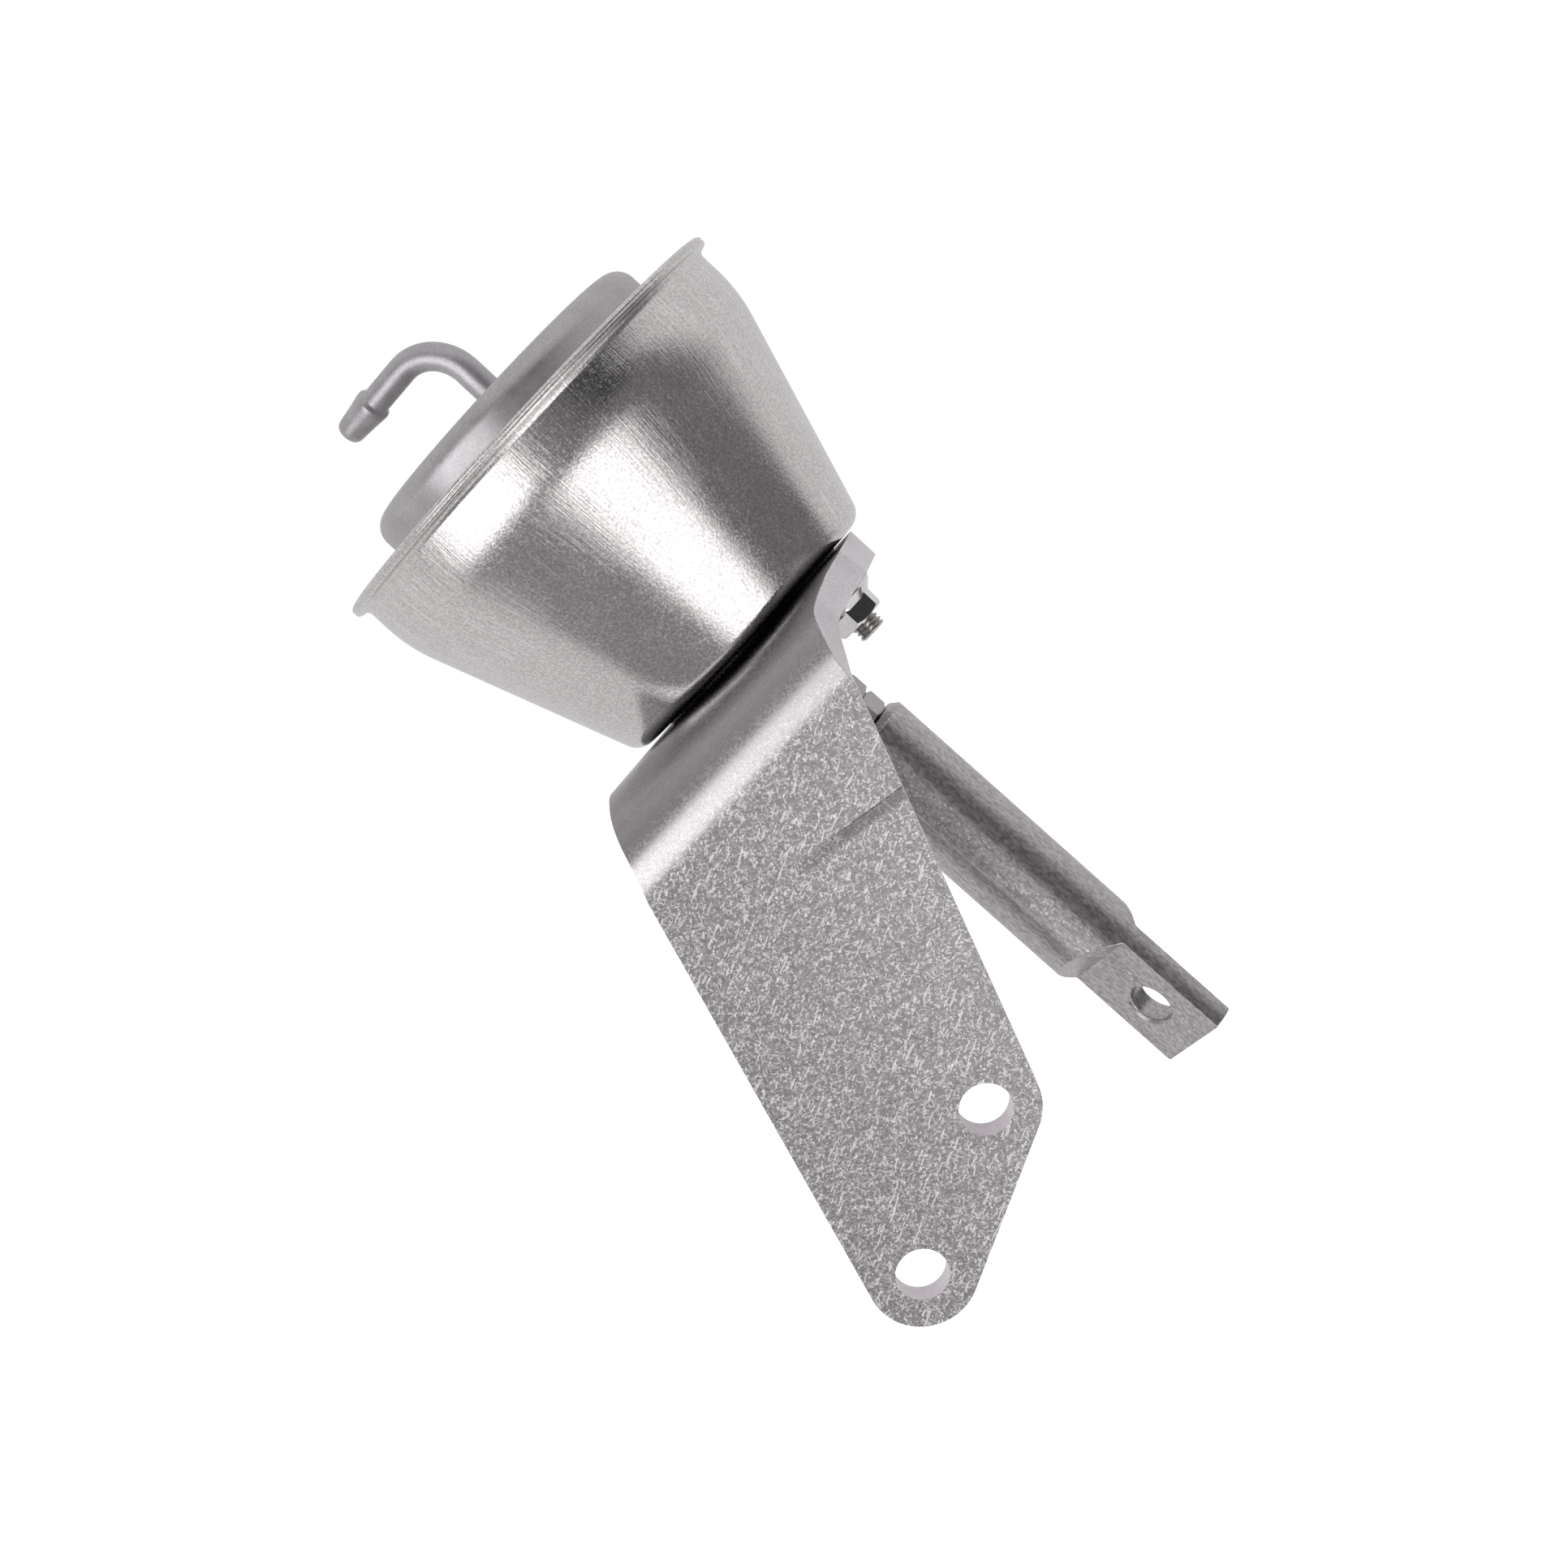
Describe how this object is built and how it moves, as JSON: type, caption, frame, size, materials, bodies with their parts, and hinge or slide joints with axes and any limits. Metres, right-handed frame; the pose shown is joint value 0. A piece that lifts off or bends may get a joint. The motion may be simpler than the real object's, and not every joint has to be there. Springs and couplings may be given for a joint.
{
  "type": "wastegate actuator",
  "caption": "Pneumatic turbo wastegate actuator: rolled-rim pressure canister with elbow hose nipple, sprung rod with jam nuts and flat eyed rod end, on a bent steel bracket.",
  "frame": {"origin": "midway between the two bolt holes of the bracket's leg, on the leg's outer face", "axes": "+Z along the canister's axis from the rod end towards the hose nipple, -Y towards the outer face of the leg, +X to the right when the leg is seen from the front"},
  "size_m": [0.1046, 0.0821, 0.1718],
  "materials": {
    "can_steel": "bright drawn sheet",
    "cap_steel": "dull satin",
    "nipple_steel": "dull satin",
    "braze_metal": "dull",
    "diaphragm_rubber": "matt cloth",
    "pressed_steel": "satin",
    "spring_steel": "oiled",
    "zinc_steel": "satin",
    "stud_steel": "satin",
    "bush_brass": "satin",
    "rod_steel": "satin",
    "galvanised_plate": "mottled galvanised",
    "washer_steel": "bright",
    "bright_zinc": "bright plated",
    "rod_end_steel": "satin turned"
  },
  "bodies": {
    "housing": {"can": "can_steel", "cap": "cap_steel", "hose_nipple": "nipple_steel", "braze_ring": "braze_metal", "diaphragm": "diaphragm_rubber", "spring": "spring_steel", "spring_seat": "pressed_steel", "stud_plate": "pressed_steel", "studs": "stud_steel", "guide_bush": "bush_brass", "bracket": "galvanised_plate", "stud_washers": "washer_steel", "stud_nuts": "bright_zinc"},
    "plunger": {"rod": "rod_steel", "piston": "pressed_steel", "stop_cup": "pressed_steel", "rod_lock_washer": "spring_steel", "rod_top_nut": "zinc_steel", "rod_lower_nut": "zinc_steel"},
    "jam_nut": {"jam_nuts": "zinc_steel"},
    "rod_end": {"rod_end": "rod_end_steel"}
  },
  "joints": [
    {"name": "rod_stroke", "type": "slide", "parent": "housing", "child": "plunger", "axis": [0, 0, -1], "range_m": [0, 0.011], "stiffness_N_per_m": 8000, "springref_m": -0.01, "deforming": ["spring", "diaphragm"]},
    {"name": "jam_nut_turn", "type": "hinge", "parent": "plunger", "child": "jam_nut", "pos_m": [0.04111, 0.02018, 0.06227], "axis": [0.019, 0.0255, -0.9995], "continuous": true},
    {"name": "rod_end_turn", "type": "hinge", "parent": "plunger", "child": "rod_end", "pos_m": [0.0418, 0.0211, 0.02599], "axis": [0.019, 0.0255, -0.9995], "continuous": true}
  ]
}
